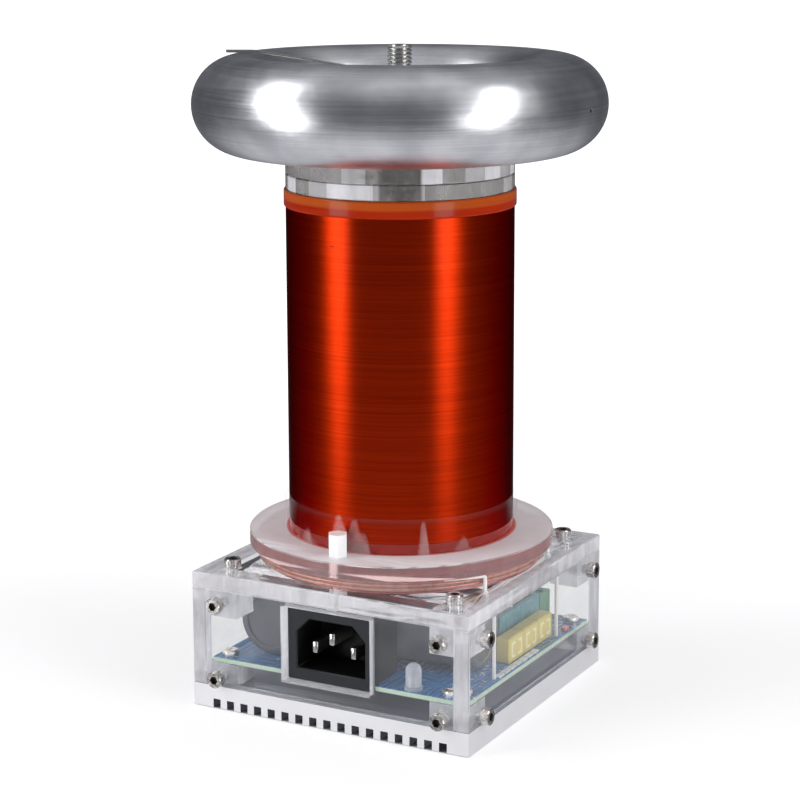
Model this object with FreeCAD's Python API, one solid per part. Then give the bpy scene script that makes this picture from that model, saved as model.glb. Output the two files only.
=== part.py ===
"""Desktop resonant transformer: a mains-fed driver in a clear box, a secondary coil and a ring terminal.

Millimetres.  Origin at the middle of the base's underside, +Z up the coil, -Y out of the
face that holds the mains inlet.  Each piece is its own solid and is written to its own file.
"""
import FreeCAD, Part
import math
import os
from FreeCAD import Vector

os.makedirs("parts", exist_ok=True)

UP = Vector(0, 0, 1)

# ---------------------------------------------------------------- driving dimensions
# Secondary coil: a clear former, wound with enamelled wire.
former_radius = 36.5
former_wall = 2.0
former_length = 112.0
winding_build = 0.4
winding_start = 3.4          # bare margin under the first turn
end_band_build = 1.0
end_band_height = 5.6
collar_build = 1.4
collar_height = 11.5
collar_chamfer = 1.3

# Flange and hub under the coil, with the primary wound round the hub.
sheet = 5.0                  # thickness of every clear panel and disc
post_flats = 5.6             # nylon posts, nuts alike
post_height = 7.3
post_margin = 0.95           # between the collar and a post
post_cap = 1.0               # solid top of a post
stud_end_gap = 0.5           # inside a post, over its stud
nylon_nut_height = 1.8
nut_panel_gap = 0.1
hub_margin = 3.9             # of the hub beyond the posts' axes
flange_overhang = 4.0        # of the flange beyond the hub
primary_wire = 1.2           # over its clear insulation
primary_pitch = 1.25
primary_full_turns = 2
primary_hole_offset = 2.6    # holes for its two ends, outside the hub
primary_hole_bearing = 29.0  # degrees each side of +X
primary_bend = 0.8
winding_gap = 0.05

# Ring terminal, the stud that carries it and the discharge wire.
ring_lift = 17.0             # middle of the ring above the cap
ring_radius = 51.0
tube_radius = 15.5
ring_wall = 1.0
web_thickness = 2.0
turning_gap = 0.05
drilled_hole_radius = 0.6
cap_opening_radius = 10.0    # in the upper of the two cap discs
stud_radius = 4.0
stud_hole_gap = 0.2
stud_tail = 0.6              # past its lowest nut
stud_free_end = 9.35         # above its highest nut
nut_flats = 13.0
nut_height = 6.5
nut_chamfer = 0.9
washer_radius = 8.0
washer_thickness = 1.6
wire_radius = 0.5
wire_bearing = 205.0         # degrees about the axis
wire_reach = 55.5
wire_clearance = 0.3         # over the ring's crest
wire_crest_run = 5.0         # where it levels out, inside the crest
wire_shoulder = 6.0          # where it starts to climb, outside its eye
wire_shoulder_rise = 0.7
wire_bend = 20.0

# Box: a finned aluminium base carries walls of clear sheet.
base_thickness = 7.5
groove_count = 17
groove_pitch = 5.15
groove_width = 2.7
groove_depth = 3.0
block_size = 10.0            # corner blocks, in plan
upper_block_height = 10.0
lower_block_height = 6.9
block_gap = 0.02             # between a block and the panels that it is screwed to
headroom = 1.98              # over the reservoir capacitors

# Fasteners: M3 socket screws.
screw_radius = 1.5
screw_head_radius = 2.75
screw_head_height = 3.0
screw_head_chamfer = 0.25
screw_socket = 2.5           # across flats
screw_socket_depth = 1.5
screw_grip = 3.0             # thread in a block
screw_inset = 4.6            # screw axis from the outer face of its block
upper_screw_drop = 4.9       # panel screw axis below the top plate
lower_screw_rise = 2.8       # panel screw axis above the base plate
hole_clearance = 0.05        # on the radius, round every screw
base_screw_inset = 7.6
base_screw_grip = 5.5
counterbore_recess = 0.2

# Circuit board, its screws and its leads.
board_thickness = 1.6
board_gap = 0.4
board_screw_grip = 2.4
board_head_radius = 2.75
board_head_height = 1.9
board_head_fillet = 0.9
recess_radius = 1.5          # cross recess in a board screw
recess_slot = 0.7
recess_depth = 0.8
lead_radius = 0.4
lead_bend = 2.0
ground_bearing = 45.0        # degrees, where the ground lead runs down inside the coil
ground_inset = 4.0           # from the bore of the former
high_voltage_inset = 4.0
high_voltage_rise_run = 6.0
tag_thickness = 1.0          # ring tag at its end
tag_bite = 0.5               # of the lead's end in the tag

# Mains inlet: a C14 socket.
inlet_x = -0.5
inlet_drop = 2.1             # its housing below the top plate
inlet_width = 31.4
inlet_height = 24.4
inlet_depth = 17.5
inlet_recess = 3.5           # of its face behind the face of the box
inlet_gap = 0.2
socket_width = 24.8
socket_height = 16.6
socket_depth = 15.0
socket_corner = 4.6
blade_width = 2.0
blade_height = 4.0
blade_chamfer = 0.4
blade_spacing = 14.0
blade_drop = 1.5             # line and neutral below the middle of the socket
earth_rise = 4.0             # earth above line and neutral
line_tip_depth = 2.1
earth_tip_depth = 0.6
blade_tail = 1.6             # behind the housing
blade_leg = 1.0

# Parts on the circuit board.
reservoir_radius = 11.0
reservoir_length = 40.0
reservoir_rim = 1.0
reservoir_groove_inset = 4.0
reservoir_groove_width = 1.6
reservoir_groove_depth = 0.8
reservoir_inlet_gap = 1.8    # left one, beside the inlet
reservoir_front_inset = 10.6
reservoir_blade_gap = 0.9    # rear one, behind the blades
reservoir_film_gap = 1.2
seat_gap = 0.02              # round bodies above the board
film_count = 3
film_pitch = 11.0
film_length = 10.6
film_width = 5.0
film_height = 8.5
film_panel_gap = 3.8
film_first_y = -4.1
driver_gap = 1.4             # between the driver board and the film capacitors
driver_reservoir_gap = 1.0
driver_length = 30.5
driver_height = 13.0
chip_length = 9.4
chip_width = 6.4
chip_height = 3.4
chip_rise = 3.0
chip_offsets = (7.0, 23.0)   # along the driver board
lamp_side_gap = 17.5
lamp_panel_gap = 3.7
lamp_radius = 2.5
lamp_flange_radius = 2.9
lamp_flange_height = 1.0
lamp_height = 8.6
resistor_count = 7
resistor_pitch = 4.3
resistor_lead_gap = 1.06     # between the first one and the primary's front lead
resistor_size = (2.0, 3.2, 0.6)
edge_parts_inset = 2.1       # of the resistors' middle line from the panel
status_lamp_inset = 2.6
status_lamp_rear_inset = 14.0
status_lamp_size = (1.8, 3.0, 1.1)
bridge_side_gap = 6.0
bridge_gap = 8.9             # behind the left reservoir capacitor
bridge_size = (22.0, 7.0, 15.0)
bridge_lead_count = 4
bridge_lead_pitch = 5.0
bridge_lead_radius = 0.8
bridge_standoff = 2.0
core_rear_inset = 23.0
core_outer = 11.0
core_inner = 6.0
core_height = 8.0
core_wire = 1.1
core_gap = 0.08
core_turns = 9
fuse_x = -3.0
fuse_rear_inset = 7.0
fuse_length = 20.0
fuse_radius = 2.5
fuse_clip_length = 4.0
fuse_clip_wall = 1.0
fuse_clip_mouth = 4.0
fuse_rise = 1.2
terminal_gap = 1.0           # between it and the driver board's plane
terminal_rear_inset = 8.0
terminal_size = (10.2, 8.0, 10.0)
terminal_screw_radius = 1.9
terminal_screw_depth = 3.0
terminal_entry = 3.2         # square opening for a wire
terminal_entry_rise = 1.5
terminal_back_wall = 3.0
transistor_x = 17.0
transistor_rear_gap = 3.4
tab_width = 10.2
tab_length = 15.6
tab_thickness = 1.3
tab_hole_inset = 3.0
transistor_body = 9.2
transistor_height = 4.5
transistor_lead_pitch = 2.54
transistor_lead_width = 0.8
transistor_lead_thickness = 0.6
transistor_lead_rise = 2.4
transistor_bend = 2.6        # how far its legs run out before they turn up
pad_thickness = 0.3
pad_margin = 1.0
blind_floor = 0.5            # left over a groove by a blind hole
blind_run = 0.5              # of a blind hole past its screw

# ---------------------------------------------------------------- levels and faces
winding_radius = former_radius + winding_build
collar_inner = winding_radius + hole_clearance
collar_outer = collar_inner + collar_build
post_reach = collar_outer + post_margin + post_flats / 2
hub_radius = post_reach + hub_margin
flange_radius = hub_radius + flange_overhang
primary_hole_reach = hub_radius + primary_hole_offset
inner_half = post_reach + post_flats / 2 + nut_panel_gap     # the box is square inside and out
outer_half = inner_half + sheet
corner = inner_half - screw_inset
base_screw_reach = inner_half - base_screw_inset

board_bottom = base_thickness + lower_block_height
board_top = board_bottom + board_thickness
reservoir_z = board_top + seat_gap + reservoir_radius
wall_top = reservoir_z + reservoir_radius + headroom
plate_top = wall_top + sheet
hub_top = plate_top + sheet
flange_top = hub_top + sheet
former_top = flange_top + former_length
cap_top = former_top + sheet
cap_ring_top = cap_top + sheet
upper_screw_z = wall_top - upper_screw_drop
lower_screw_z = base_thickness + lower_screw_rise
screw_length = sheet + screw_grip
counterbore_depth = screw_head_height + counterbore_recess

lower_lead_z = flange_top + winding_start + 2 * lead_radius
upper_lead_z = former_top - end_band_height - 2 * lead_radius
tag_z = former_top - washer_thickness - tag_thickness

ring_z = cap_ring_top + ring_lift
web_bottom = ring_z - web_thickness / 2
web_top = ring_z + web_thickness / 2
web_washer_z = web_bottom - turning_gap - washer_thickness
top_washer_z = web_top + turning_gap
top_nut_top = top_washer_z + washer_thickness + nut_height
NUT_LEVELS = [tag_z - nut_height, cap_top + washer_thickness, web_washer_z - nut_height,
              top_washer_z + washer_thickness]
WASHER_LEVELS = [former_top - washer_thickness, cap_top, web_washer_z, top_washer_z]

inlet_face = -outer_half + inlet_recess
inlet_back = inlet_face + inlet_depth
inlet_z = wall_top - inlet_drop - inlet_height / 2
line_z = inlet_z - blade_drop
BLADES = [(inlet_x - blade_spacing / 2, line_z, line_tip_depth),
          (inlet_x + blade_spacing / 2, line_z, line_tip_depth),
          (inlet_x, line_z + earth_rise, earth_tip_depth)]

film_x = inner_half - film_panel_gap - film_width / 2
driver_x = film_x - film_width / 2 - driver_gap - board_thickness / 2
reservoir_left_x = inlet_x - inlet_width / 2 - reservoir_inlet_gap - reservoir_radius
reservoir_left_front = -inner_half + reservoir_front_inset
reservoir_left_back = reservoir_left_front + reservoir_length
reservoir_rear_end = film_x - film_width / 2 - reservoir_film_gap
reservoir_rear_y = inlet_back + blade_tail + reservoir_blade_gap + reservoir_radius
driver_front = reservoir_rear_y + reservoir_radius + driver_reservoir_gap
lamp_x = inner_half - lamp_side_gap
lamp_y = lamp_panel_gap - inner_half
front_lead_y = -primary_hole_reach * math.sin(math.radians(primary_hole_bearing))
resistor_first_y = front_lead_y + primary_wire / 2 + resistor_lead_gap + resistor_size[1] / 2
bridge_x = bridge_side_gap + bridge_size[0] / 2 - inner_half
bridge_y = reservoir_left_back + bridge_gap + bridge_size[1] / 2
core_y = inner_half - core_rear_inset
core_bottom = board_top + core_wire + seat_gap + core_gap
fuse_y = inner_half - fuse_rear_inset
fuse_z = board_top + fuse_rise + fuse_radius
terminal_x = driver_x - board_thickness / 2 - terminal_gap - terminal_size[0] / 2
terminal_y = inner_half - terminal_rear_inset
transistor_y = inner_half - transistor_rear_gap - tab_length
transistor_seat = base_thickness + pad_thickness
transistor_hole_y = transistor_y + tab_length - tab_hole_inset

wire_axis_radius = hub_radius + winding_gap + primary_wire / 2
tangent_angle = math.degrees(math.acos(wire_axis_radius / primary_hole_reach))
primary_start = primary_hole_bearing + tangent_angle
primary_turns = primary_full_turns + 1 - 2 * primary_start / 360
primary_top_z = hub_top - winding_gap - primary_wire / 2
primary_half_turns = int(2 * primary_turns)
primary_last_angle = 180 * (2 * primary_turns - primary_half_turns)
primary_climb = primary_half_turns + (1 - math.cos(math.radians(primary_last_angle))) / 2
primary_low_z = primary_top_z - primary_climb * primary_pitch / 2       # it climbs by half pitches

CORNERS = [(sx, sy) for sx in (-1, 1) for sy in (-1, 1)]


# ---------------------------------------------------------------- shape helpers
def box(x0, x1, y0, y1, z0, z1):
    return Part.makeBox(x1 - x0, y1 - y0, z1 - z0, Vector(x0, y0, z0))


def block_at(x, y, z0, size):
    """A box of size (x, y, z) centred on (x, y), standing on z0."""
    return box(x - size[0] / 2, x + size[0] / 2, y - size[1] / 2, y + size[1] / 2, z0, z0 + size[2])


def rod(radius, z0, z1, x=0.0, y=0.0):
    return Part.makeCylinder(radius, z1 - z0, Vector(x, y, z0))


def hole(radius, z0, z1, x=0.0, y=0.0):
    """A cutter that runs past both faces of what lies between z0 and z1."""
    return rod(radius, z0 - 1, z1 + 1, x, y)


def tube(outer, inner, z0, z1, x=0.0, y=0.0):
    return rod(outer, z0, z1, x, y).cut(hole(inner, z0, z1, x, y))


def hex_bar(flats, z0, z1, x=0.0, y=0.0):
    reach = flats / math.sqrt(3)
    corners = [Vector(x + reach * math.cos(math.radians(60 * k)),
                      y + reach * math.sin(math.radians(60 * k)), z0) for k in range(7)]
    return Part.Face(Part.makePolygon(corners)).extrude(Vector(0, 0, z1 - z0))


def aimed(shape, point, outward):
    """Turn a shape built round +Z so that +Z points outward, and carry its origin to point."""
    placed = shape.copy()
    placed.Placement = FreeCAD.Placement(Vector(*point), FreeCAD.Rotation(UP, Vector(*outward)))
    return placed


def top_edges(shape, z):
    return [edge for edge in shape.Edges if edge.BoundBox.ZMin > z - 0.01]


def around(radius, bearing):
    """The point at a radius and a bearing in degrees about the coil's axis."""
    return radius * math.cos(math.radians(bearing)), radius * math.sin(math.radians(bearing))


def socket_screw(length):
    head = rod(screw_head_radius, 0, screw_head_height)
    head = head.makeChamfer(screw_head_chamfer, top_edges(head, screw_head_height))
    pocket = hex_bar(screw_socket, screw_head_height - screw_socket_depth, screw_head_height + 1)
    return head.cut(pocket).fuse(rod(screw_radius, -length, 0)).removeSplitter()


def wire_along(points, bend, radius):
    """A round wire along straight runs joined by tangent arcs of one bend radius."""
    edges = []
    start = Vector(*points[0])
    for before, here, after in zip(points, points[1:], points[2:]):
        arriving = (Vector(*here) - Vector(*before)).normalize()
        leaving = (Vector(*after) - Vector(*here)).normalize()
        turn = arriving.getAngle(leaving)
        setback = bend * math.tan(turn / 2)
        first = Vector(*here) - arriving * setback
        last = Vector(*here) + leaving * setback
        inward = (leaving - arriving).normalize()
        middle = Vector(*here) + inward * (bend / math.cos(turn / 2) - bend)
        edges.append(Part.LineSegment(start, first).toShape())
        edges.append(Part.Arc(first, middle, last).toShape())
        start = last
    edges.append(Part.LineSegment(start, Vector(*points[-1])).toShape())
    along = (Vector(*points[1]) - Vector(*points[0])).normalize()
    profile = Part.Wire([Part.Circle(Vector(*points[0]), along, radius).toShape()])
    return Part.Wire(edges).makePipeShell([profile], True, True)


# ---------------------------------------------------------------- places of screws and holes
def side_screw_places():
    """(point on the outer face, outward direction) of the screws in the two side panels."""
    return [((sx * outer_half, sy * corner, z), (sx, 0, 0))
            for sx, sy in CORNERS for z in (lower_screw_z, upper_screw_z)]


def end_screw_places():
    """The same for the front and rear panels."""
    return [((sx * corner, sy * outer_half, z), (0, sy, 0))
            for sx, sy in CORNERS for z in (lower_screw_z, upper_screw_z)]


def plate_screw_places():
    return [((sx * corner, sy * corner, plate_top), (0, 0, 1)) for sx, sy in CORNERS]


def base_screw_places():
    return [(sx * base_screw_reach, sy * base_screw_reach) for sx, sy in CORNERS]


def transistor_screw_places():
    return [(side * transistor_x, transistor_hole_y) for side in (-1, 1)]


def post_places():
    return [(0.0, -post_reach), (0.0, post_reach)]


def primary_hole_places():
    return [around(primary_hole_reach, side * primary_hole_bearing) for side in (1, -1)]


def ground_place():
    return around(former_radius - former_wall - ground_inset, ground_bearing)


def drill_screws(shape, places, depth):
    """Screw holes from outside, each depth deep and open at its face."""
    cutter = rod(screw_radius + hole_clearance, -depth, 1)
    for point, outward in places:
        shape = shape.cut(aimed(cutter, point, outward))
    return shape


def drill_stack(shape, z0, z1):
    """The holes that the nylon studs and the ground lead pass through."""
    for x, y in post_places():
        shape = shape.cut(hole(screw_radius + hole_clearance, z0, z1, x, y))
    return shape.cut(hole(lead_radius + 2 * hole_clearance, z0, z1, *ground_place()))


# ---------------------------------------------------------------- base plate
def base_plate():
    plate = box(-outer_half, outer_half, -outer_half, outer_half, 0, base_thickness)
    for index in range(groove_count):
        x = (index - (groove_count - 1) / 2) * groove_pitch
        plate = plate.cut(box(x - groove_width / 2, x + groove_width / 2,
                              -outer_half - 1, outer_half + 1, -1, groove_depth))
    for x, y in base_screw_places():
        plate = plate.cut(hole(screw_radius + hole_clearance, 0, base_thickness, x, y))
        plate = plate.cut(rod(screw_head_radius + hole_clearance, -1, counterbore_depth, x, y))
    for x, y in transistor_screw_places():
        plate = plate.cut(rod(screw_radius + hole_clearance, groove_depth + blind_floor,
                              base_thickness + 1, x, y))
    return plate


def screws_at(places, length):
    return [aimed(socket_screw(length), point, outward) for point, outward in places]


def base_plate_screws():
    length = base_thickness - counterbore_depth + base_screw_grip
    return screws_at([((x, y, counterbore_depth), (0, 0, -1)) for x, y in base_screw_places()], length)


# ---------------------------------------------------------------- clear box
def side_panel(side):
    x0, x1 = sorted((side * inner_half, side * outer_half))
    panel = box(x0, x1, -outer_half, outer_half, base_thickness, wall_top)
    places = [place for place in side_screw_places() if place[1][0] == side]
    return drill_screws(panel, places, sheet + 1)


def end_panel(side):
    y0, y1 = sorted((side * inner_half, side * outer_half))
    panel = box(-inner_half, inner_half, y0, y1, base_thickness, wall_top)
    places = [place for place in end_screw_places() if place[1][1] == side]
    return drill_screws(panel, places, sheet + 1)


def front_panel():
    window = box(inlet_x - inlet_width / 2 - inlet_gap, inlet_x + inlet_width / 2 + inlet_gap,
                 -outer_half - 1, -inner_half + 1,
                 inlet_z - inlet_height / 2 - inlet_gap, inlet_z + inlet_height / 2 + inlet_gap)
    return end_panel(-1).cut(window)


def top_plate():
    plate = box(-outer_half, outer_half, -outer_half, outer_half, wall_top, plate_top)
    plate = drill_stack(drill_screws(plate, plate_screw_places(), sheet + 1), wall_top, plate_top)
    for x, y in primary_hole_places():
        plate = plate.cut(hole(primary_wire / 2 + 2 * hole_clearance, wall_top, plate_top, x, y))
    return plate


def corner_blocks(z0, z1, screws):
    reach = inner_half - block_gap - block_size / 2
    blocks = [block_at(sx * reach, sy * reach, z0, (block_size, block_size, z1 - z0)) for sx, sy in CORNERS]
    return [drill_screws(block, screws, screw_length + hole_clearance) for block in blocks]


def upper_corner_blocks():
    screws = side_screw_places() + end_screw_places() + plate_screw_places()
    return corner_blocks(wall_top - upper_block_height, wall_top, screws)


def lower_corner_blocks():
    """Tapped from outside for the panels, from above for the board and from below for the base."""
    radius = screw_radius + hole_clearance
    board_holes = [rod(radius, board_bottom - board_screw_grip - hole_clearance, board_bottom + 1,
                       sx * corner, sy * corner) for sx, sy in CORNERS]
    base_holes = [rod(radius, base_thickness - 1, base_thickness + base_screw_grip + hole_clearance, x, y)
                  for x, y in base_screw_places()]
    blocks = corner_blocks(base_thickness, board_bottom, side_screw_places() + end_screw_places())
    return [block.cut(board_holes + base_holes) for block in blocks]


# ---------------------------------------------------------------- circuit board
def circuit_board():
    edge = inner_half - board_gap
    board = box(-edge, edge, -edge, edge, board_bottom, board_top)
    notch_half = inlet_width / 2 + board_gap
    board = board.cut(box(inlet_x - notch_half, inlet_x + notch_half,
                          -outer_half, inlet_back + inlet_gap, board_bottom - 1, board_top + 1))
    for sx, sy in CORNERS:
        board = board.cut(hole(screw_radius + hole_clearance, board_bottom, board_top,
                               sx * corner, sy * corner))
    for x, y in transistor_screw_places():
        board = board.cut(hole(screw_head_radius + board_gap, board_bottom, board_top, x, y))
    return board


def circuit_board_screws():
    head = rod(board_head_radius, 0, board_head_height)
    head = head.makeFillet(board_head_fillet, top_edges(head, board_head_height))
    floor = board_head_height - recess_depth
    bar = (2 * board_head_radius, recess_slot, board_head_height)
    cross = block_at(0, 0, floor, bar).fuse(block_at(0, 0, floor, (bar[1], bar[0], bar[2])))
    recess = cross.common(rod(recess_radius, 0, board_head_height + 1))
    screw = head.cut(recess).fuse(rod(screw_radius, -board_thickness - board_screw_grip, 0))
    return [aimed(screw, (sx * corner, sy * corner, board_top), (0, 0, 1)) for sx, sy in CORNERS]


# ---------------------------------------------------------------- mains inlet
def mains_inlet_housing():
    body = box(inlet_x - inlet_width / 2, inlet_x + inlet_width / 2, inlet_face, inlet_back,
               inlet_z - inlet_height / 2, inlet_z + inlet_height / 2)
    left = inlet_x - socket_width / 2
    right = inlet_x + socket_width / 2
    low = inlet_z - socket_height / 2
    high = inlet_z + socket_height / 2
    outline = [(left, low), (right, low), (right, high - socket_corner), (right - socket_corner, high),
               (left + socket_corner, high), (left, high - socket_corner), (left, low)]
    face = Part.Face(Part.makePolygon([Vector(x, inlet_face - 1, z) for x, z in outline]))
    body = body.cut(face.extrude(Vector(0, socket_depth + 1, 0)))
    for x, z, _ in BLADES:
        body = body.cut(box(x - blade_width / 2, x + blade_width / 2, inlet_face, inlet_back + 1,
                            z - blade_height / 2, z + blade_height / 2))
    return body


def mains_inlet_blades():
    """Three blades through the housing, each with a leg down to the board."""
    rear = inlet_back + blade_tail
    solids = []
    for x, z, tip_depth in BLADES:
        tip = inlet_face + tip_depth
        blade = box(x - blade_width / 2, x + blade_width / 2, tip, rear,
                    z - blade_height / 2, z + blade_height / 2)
        tip_edges = [edge for edge in blade.Edges if edge.BoundBox.YMax < tip + 0.01]
        blade = blade.makeChamfer(blade_chamfer, tip_edges)
        leg = box(x - blade_width / 2, x + blade_width / 2, rear - blade_leg, rear, board_top, z)
        solids.append(blade.fuse(leg).removeSplitter())
    return solids


# ---------------------------------------------------------------- parts on the board
def reservoir(foot, axis):
    """A can capacitor that lies on the board, its seal end at foot, grooved where the can is crimped."""
    can = rod(reservoir_radius, 0, reservoir_length)
    can = can.makeFillet(reservoir_rim, [edge for edge in can.Edges if edge.BoundBox.ZLength < 0.01])
    groove = tube(reservoir_radius + 1, reservoir_radius - reservoir_groove_depth,
                  reservoir_groove_inset, reservoir_groove_inset + reservoir_groove_width)
    return aimed(can.cut(groove), foot, axis)


def film_capacitors():
    size = (film_width, film_length, film_height)
    return [block_at(film_x, film_first_y + index * film_pitch, board_top, size)
            for index in range(film_count)]


def driver_board():
    return block_at(driver_x, driver_front + driver_length / 2, board_top,
                    (board_thickness, driver_length, driver_height))


def driver_chips():
    x = driver_x - board_thickness / 2 - chip_height / 2
    return [block_at(x, driver_front + offset, board_top + chip_rise, (chip_height, chip_length, chip_width))
            for offset in chip_offsets]


def indicator_lamp():
    dome_base = board_top + lamp_height - lamp_radius
    flange = rod(lamp_flange_radius, board_top, board_top + lamp_flange_height, lamp_x, lamp_y)
    body = rod(lamp_radius, board_top, dome_base, lamp_x, lamp_y)
    dome = Part.makeSphere(lamp_radius, Vector(lamp_x, lamp_y, dome_base))
    return flange.fuse(body).fuse(dome).removeSplitter()


def chip_resistors():
    return [block_at(inner_half - edge_parts_inset, resistor_first_y + index * resistor_pitch, board_top,
                     resistor_size) for index in range(resistor_count)]


def status_lamp():
    return block_at(inner_half - status_lamp_inset, inner_half - status_lamp_rear_inset, board_top,
                    status_lamp_size)


def bridge_rectifier():
    foot = board_top + bridge_standoff
    body = block_at(bridge_x, bridge_y, foot, bridge_size)
    for index in range(bridge_lead_count):
        x = bridge_x + (index - (bridge_lead_count - 1) / 2) * bridge_lead_pitch
        body = body.fuse(rod(bridge_lead_radius, board_top, foot, x, bridge_y))
    return body.removeSplitter()


def gate_transformer_core():
    return tube(core_outer, core_inner, core_bottom, core_bottom + core_height, 0, core_y)


def gate_transformer_winding():
    """Spaced turns round the ring core, each a flat loop of wire."""
    reach = core_gap + core_wire
    outer = box(core_inner - reach, core_outer + reach, -core_wire / 2, core_wire / 2,
                core_bottom - reach, core_bottom + core_height + reach)
    window = box(core_inner - core_gap, core_outer + core_gap, -core_wire, core_wire,
                 core_bottom - core_gap, core_bottom + core_height + core_gap)
    turns = []
    for index in range(core_turns):
        turn = outer.cut(window)
        turn.rotate(Vector(0, 0, 0), UP, 360 * index / core_turns)
        turn.translate(Vector(0, core_y, 0))
        turns.append(turn)
    return turns


def fuse_clips():
    width = 2 * (fuse_radius + fuse_clip_wall)
    channel = rod(fuse_radius + seat_gap, -fuse_length, fuse_length)
    channel = aimed(channel, (fuse_x, fuse_y, fuse_z), (1, 0, 0))
    clips = []
    for end in (-1, 1):
        x = fuse_x + end * (fuse_length - fuse_clip_length) / 2
        clip = block_at(x, fuse_y, board_top, (fuse_clip_length, width, fuse_rise + 2 * fuse_radius))
        mouth = block_at(x, fuse_y, fuse_z, (fuse_clip_length + 1, fuse_clip_mouth, 2 * fuse_radius))
        clips.append(clip.cut([channel, mouth]))
    return clips


def fuse():
    return aimed(rod(fuse_radius, -fuse_length / 2, fuse_length / 2), (fuse_x, fuse_y, fuse_z), (1, 0, 0))


def primary_terminal():
    """A two-way terminal block: wires enter at the front, screws clamp them from above."""
    body = block_at(terminal_x, terminal_y, board_top, terminal_size)
    top = board_top + terminal_size[2]
    low = board_top + terminal_entry_rise
    front = terminal_y - terminal_size[1]
    back = terminal_y + terminal_size[1] / 2 - terminal_back_wall
    for side in (-1, 1):
        x = terminal_x + side * terminal_size[0] / 4
        body = body.cut(rod(terminal_screw_radius, top - terminal_screw_depth, top + 1, x, terminal_y))
        body = body.cut(box(x - terminal_entry / 2, x + terminal_entry / 2, front, back,
                            low, low + terminal_entry))
    return body


# ---------------------------------------------------------------- power transistors
def power_transistors():
    """Screwed flat to the base plate, with their legs turned up to the board."""
    leg_top = transistor_seat + transistor_lead_rise + transistor_lead_thickness / 2
    leg_low = leg_top - transistor_lead_thickness
    leg_back = transistor_y - transistor_bend
    solids = []
    for x, hole_y in transistor_screw_places():
        left = x - tab_width / 2
        right = x + tab_width / 2
        solid = box(left, right, transistor_y, transistor_y + tab_length,
                    transistor_seat, transistor_seat + tab_thickness)
        solid = solid.fuse(box(left, right, transistor_y, transistor_y + transistor_body,
                               transistor_seat, transistor_seat + transistor_height))
        solid = solid.cut(hole(screw_radius + hole_clearance, transistor_seat,
                               transistor_seat + tab_thickness, x, hole_y))
        for lead in (-1, 0, 1):
            leg_left = x + lead * transistor_lead_pitch - transistor_lead_width / 2
            leg_right = leg_left + transistor_lead_width
            run = box(leg_left, leg_right, leg_back, transistor_y, leg_low, leg_top)
            rise = box(leg_left, leg_right, leg_back, leg_back + transistor_lead_thickness,
                       leg_low, board_bottom)
            solid = solid.fuse([run, rise])
        solids.append(solid.removeSplitter())
    return solids


def transistor_pads():
    pads = []
    for x, hole_y in transistor_screw_places():
        pad = block_at(x, transistor_y + tab_length / 2, base_thickness,
                       (tab_width + 2 * pad_margin, tab_length + 2 * pad_margin, pad_thickness))
        pads.append(pad.cut(hole(screw_radius + hole_clearance, base_thickness, transistor_seat, x, hole_y)))
    return pads


def transistor_screws():
    seat = transistor_seat + tab_thickness
    length = seat - groove_depth - blind_floor - blind_run
    return screws_at([((x, y, seat), (0, 0, 1)) for x, y in transistor_screw_places()], length)


# ---------------------------------------------------------------- primary coil and flange
def primary_hub():
    return drill_stack(rod(hub_radius, plate_top, hub_top), plate_top, hub_top)


def flange_disc():
    return drill_stack(rod(flange_radius, hub_top, flange_top), hub_top, flange_top)


def primary_winding():
    """Insulated wire wound upwards round the hub: half turns, each tilted to climb half a pitch."""
    section = Part.Circle(Vector(wire_axis_radius, 0, 0), Vector(0, 1, 0), primary_wire / 2)
    section = Part.Face(Part.Wire([section.toShape()]))
    middle = Vector(0, 0, primary_pitch / 4)
    axis = Vector(primary_pitch / 4, 0, wire_axis_radius)
    runs = []
    for index in range(primary_half_turns + 1):
        angle = 180 if index < primary_half_turns else primary_last_angle
        run = section.revolve(middle, axis, angle)
        run.rotate(Vector(0, 0, 0), UP, primary_start + 180 * index)
        run.translate(Vector(0, 0, primary_low_z + index * primary_pitch / 2))
        runs.append(run)
    return runs[0].fuse(runs[1:])


def primary_leads():
    """The winding's two ends: each runs off at a tangent, then down through the top plate to the board."""
    leads = []
    for (hole_x, hole_y), side, z in zip(primary_hole_places(), (1, -1), (primary_low_z, primary_top_z)):
        start = around(wire_axis_radius, side * primary_start)
        points = [(*start, z), (hole_x, hole_y, z), (hole_x, hole_y, board_top)]
        leads.append(wire_along(points, primary_bend, primary_wire / 2))
    return leads


def nylon_posts():
    top = flange_top + post_height
    thread_top = top - post_cap
    return [hex_bar(post_flats, flange_top, top, x, y).cut(
            rod(screw_radius + hole_clearance, flange_top - 1, thread_top, x, y)) for x, y in post_places()]


def nylon_studs():
    top = flange_top + post_height - post_cap - stud_end_gap
    return [rod(screw_radius, wall_top - nylon_nut_height, top, x, y) for x, y in post_places()]


def nylon_nuts():
    bottom = wall_top - nylon_nut_height
    return [hex_bar(post_flats, bottom, wall_top, x, y).cut(
            hole(screw_radius + hole_clearance, bottom, wall_top, x, y)) for x, y in post_places()]


# ---------------------------------------------------------------- secondary coil
def coil_former():
    former = tube(former_radius, former_radius - former_wall, flange_top, former_top)
    drill = rod(lead_radius + hole_clearance, 0, former_radius + 1)
    for z, bearing in ((lower_lead_z, ground_bearing), (upper_lead_z, 180)):
        former = former.cut(aimed(drill, (0, 0, z), (*around(1, bearing), 0)))
    return former


def secondary_winding():
    return tube(winding_radius, former_radius, flange_top + winding_start, former_top - end_band_height)


def winding_foot():
    """The margin of bare sleeve between the flange and the first turn."""
    return tube(winding_radius, former_radius, flange_top, flange_top + winding_start)


def end_band():
    outer = former_radius + end_band_build
    band = tube(outer, former_radius, former_top - end_band_height, former_top)
    rims = [edge for edge in band.Edges
            if edge.BoundBox.ZLength < 0.01 and edge.BoundBox.XMax > outer - 0.01]
    return band.makeFillet(0.6 * end_band_build, rims)


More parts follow.
